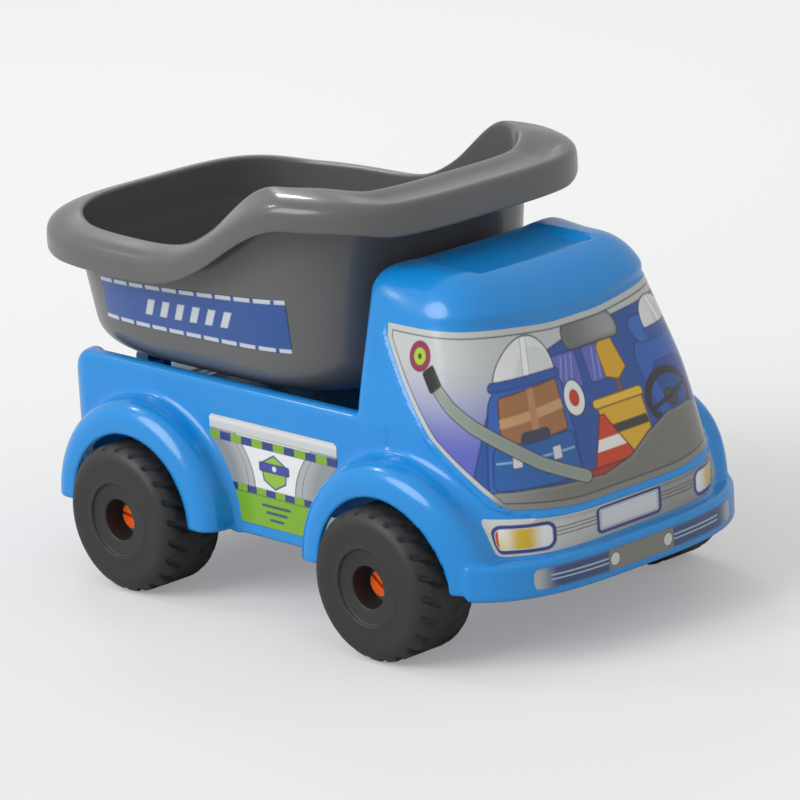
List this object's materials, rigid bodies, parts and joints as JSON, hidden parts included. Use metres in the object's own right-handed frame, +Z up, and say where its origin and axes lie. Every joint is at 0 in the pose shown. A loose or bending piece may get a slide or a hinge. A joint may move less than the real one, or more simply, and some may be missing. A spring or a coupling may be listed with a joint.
{
  "type": "push along tipper truck",
  "caption": "Sandpit tipper truck with a moulded cab and bed, a tub that tips back on a hinge rod, and hollow wheels on fixed axles.",
  "frame": {"origin": "middle of the truck's length and width, on the ground under the wheels", "axes": "+X forward over the cab, +Y to the truck's left, +Z up"},
  "size_m": [0.4148, 0.261, 0.258],
  "materials": {
    "body_blue": "glossy injection-moulded plastic",
    "frame_blue": "satin injection-moulded plastic",
    "tub_grey": "glossy injection-moulded plastic",
    "wheel_black": "matt black plastic",
    "axle_orange": "glossy plastic",
    "steel": "plain steel wire and screws",
    "screen_print": "printed glossy film",
    "grille_print": "printed glossy film",
    "bumper_print": "printed glossy film",
    "side_print": "printed glossy film",
    "tub_print": "printed glossy film"
  },
  "bodies": {
    "truck_body": {"body_shell": "body_blue", "chassis_frame": "frame_blue", "chassis_screws": "steel", "axle_front": "axle_orange", "axle_rear": "axle_orange", "tub_hinge_rod": "steel", "windscreen_label": "screen_print", "grille_label": "grille_print", "bumper_label": "bumper_print", "side_label_left": "side_print", "side_label_right": "side_print"},
    "wheel_front_left": {"wheel_front_left": "wheel_black"},
    "wheel_front_right": {"wheel_front_right": "wheel_black"},
    "wheel_rear_left": {"wheel_rear_left": "wheel_black"},
    "wheel_rear_right": {"wheel_rear_right": "wheel_black"},
    "tub": {"tub": "tub_grey", "tub_label_left": "tub_print", "tub_label_right": "tub_print"}
  },
  "joints": [
    {"name": "wheel_front_left_spin", "type": "hinge", "parent": "truck_body", "child": "wheel_front_left", "pos_m": [0.11175, 0.1075, 0.045], "axis": [0, 1, 0], "continuous": true},
    {"name": "wheel_front_right_spin", "type": "hinge", "parent": "truck_body", "child": "wheel_front_right", "pos_m": [0.11175, -0.1075, 0.045], "axis": [0, 1, 0], "continuous": true},
    {"name": "wheel_rear_left_spin", "type": "hinge", "parent": "truck_body", "child": "wheel_rear_left", "pos_m": [-0.09825, 0.1075, 0.045], "axis": [0, 1, 0], "continuous": true},
    {"name": "wheel_rear_right_spin", "type": "hinge", "parent": "truck_body", "child": "wheel_rear_right", "pos_m": [-0.09825, -0.1075, 0.045], "axis": [0, 1, 0], "continuous": true},
    {"name": "tub_tip", "type": "hinge", "parent": "truck_body", "child": "tub", "pos_m": [-0.14625, 0, 0.121], "axis": [0, -1, 0], "range_deg": [0, 45]}
  ]
}
